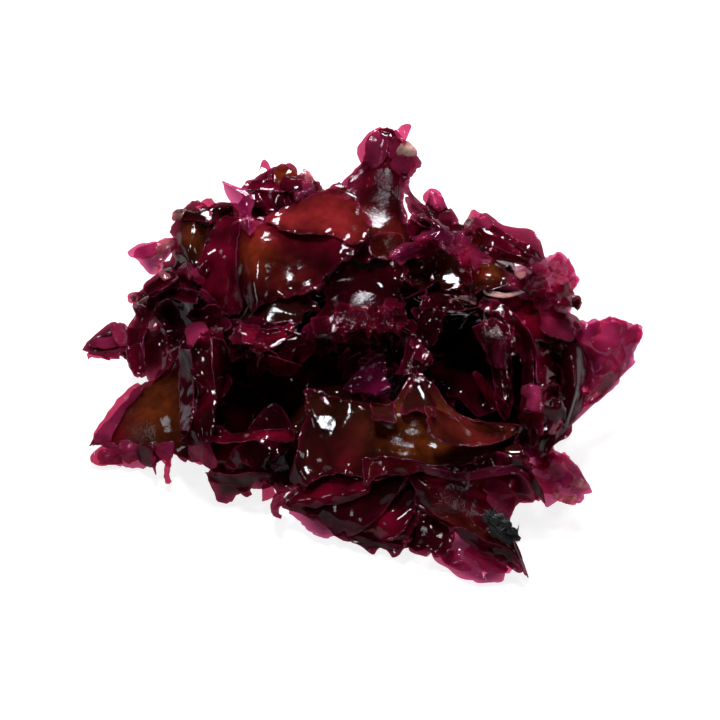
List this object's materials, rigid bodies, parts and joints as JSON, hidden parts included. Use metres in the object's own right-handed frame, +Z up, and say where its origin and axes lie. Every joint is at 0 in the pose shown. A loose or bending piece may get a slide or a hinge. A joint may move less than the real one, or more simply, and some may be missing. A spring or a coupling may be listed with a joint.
{
  "type": "dulse seaweed",
  "caption": "Loose heap of wet, ruffled dulse fronds: thin dark red sheets that lie over each other, pink where single, with a gnarled holdfast at the front.",
  "frame": {"origin": "on the table, under the middle of the heap's box", "axes": "+Z up; +X to the right of someone who looks from the front; the front with the holdfast faces -Y"},
  "size_m": [0.1818, 0.1726, 0.0726],
  "materials": {
    "crimson_frond": "wet, shining, see-through where single, dark crimson where fronds lie over each other",
    "brown_frond": "wet, shining, red-brown to orange-brown",
    "magenta_frond": "wet, shining, thin, magenta-pink with light behind it",
    "holdfast": "rough, matt, blackish brown"
  },
  "bodies": {
    "root": {"apron_frond": "brown_frond", "apron_lip_frond": "crimson_frond", "arch_frond": "crimson_frond", "back_frond_1": "crimson_frond", "back_frond_2": "brown_frond", "back_frond_3": "crimson_frond", "back_frond_4": "brown_frond", "back_frond_5": "crimson_frond", "back_frond_6": "brown_frond", "base_frond_back": "brown_frond", "base_frond_front": "brown_frond", "base_frond_left": "brown_frond", "base_frond_right": "brown_frond", "brown_leaf_frond": "brown_frond", "centre_tongue_frond": "crimson_frond", "crest_frond": "crimson_frond", "crest_right_frond": "crimson_frond", "curl_left_frond": "magenta_frond", "curl_middle_frond": "crimson_frond", "curl_right_frond": "crimson_frond", "finger_frond": "crimson_frond", "front_panel_frond": "crimson_frond", "hanging_leaf_frond": "crimson_frond", "hem_frond": "magenta_frond", "holdfast": "holdfast", "lace_frond": "magenta_frond", "left_crumple_frond": "crimson_frond", "left_flap_frond": "crimson_frond", "left_panel_frond": "crimson_frond", "left_shoulder_frond": "brown_frond", "left_skirt_frond": "crimson_frond", "left_tip_frond": "crimson_frond", "left_toe_frond": "magenta_frond", "left_wing_frond": "brown_frond", "lower_left_frond": "crimson_frond", "mantle_frond": "crimson_frond", "petal_frond": "magenta_frond", "pink_triangle_frond": "magenta_frond", "right_fan_frond": "magenta_frond", "right_panel_frond": "crimson_frond", "right_ridge_frond": "crimson_frond", "right_sheet_frond": "crimson_frond", "right_skirt_frond": "crimson_frond", "right_tail_frond": "magenta_frond", "right_wall_frond": "crimson_frond", "rolled_hem_frond": "crimson_frond", "spike_frond": "magenta_frond", "toe_frond": "magenta_frond", "top_left_frond": "crimson_frond", "under_frond_1": "crimson_frond", "under_frond_2": "brown_frond", "under_frond_3": "crimson_frond", "under_frond_4": "crimson_frond", "under_frond_5": "brown_frond", "under_frond_6": "crimson_frond", "under_frond_7": "crimson_frond"}
  },
  "joints": []
}
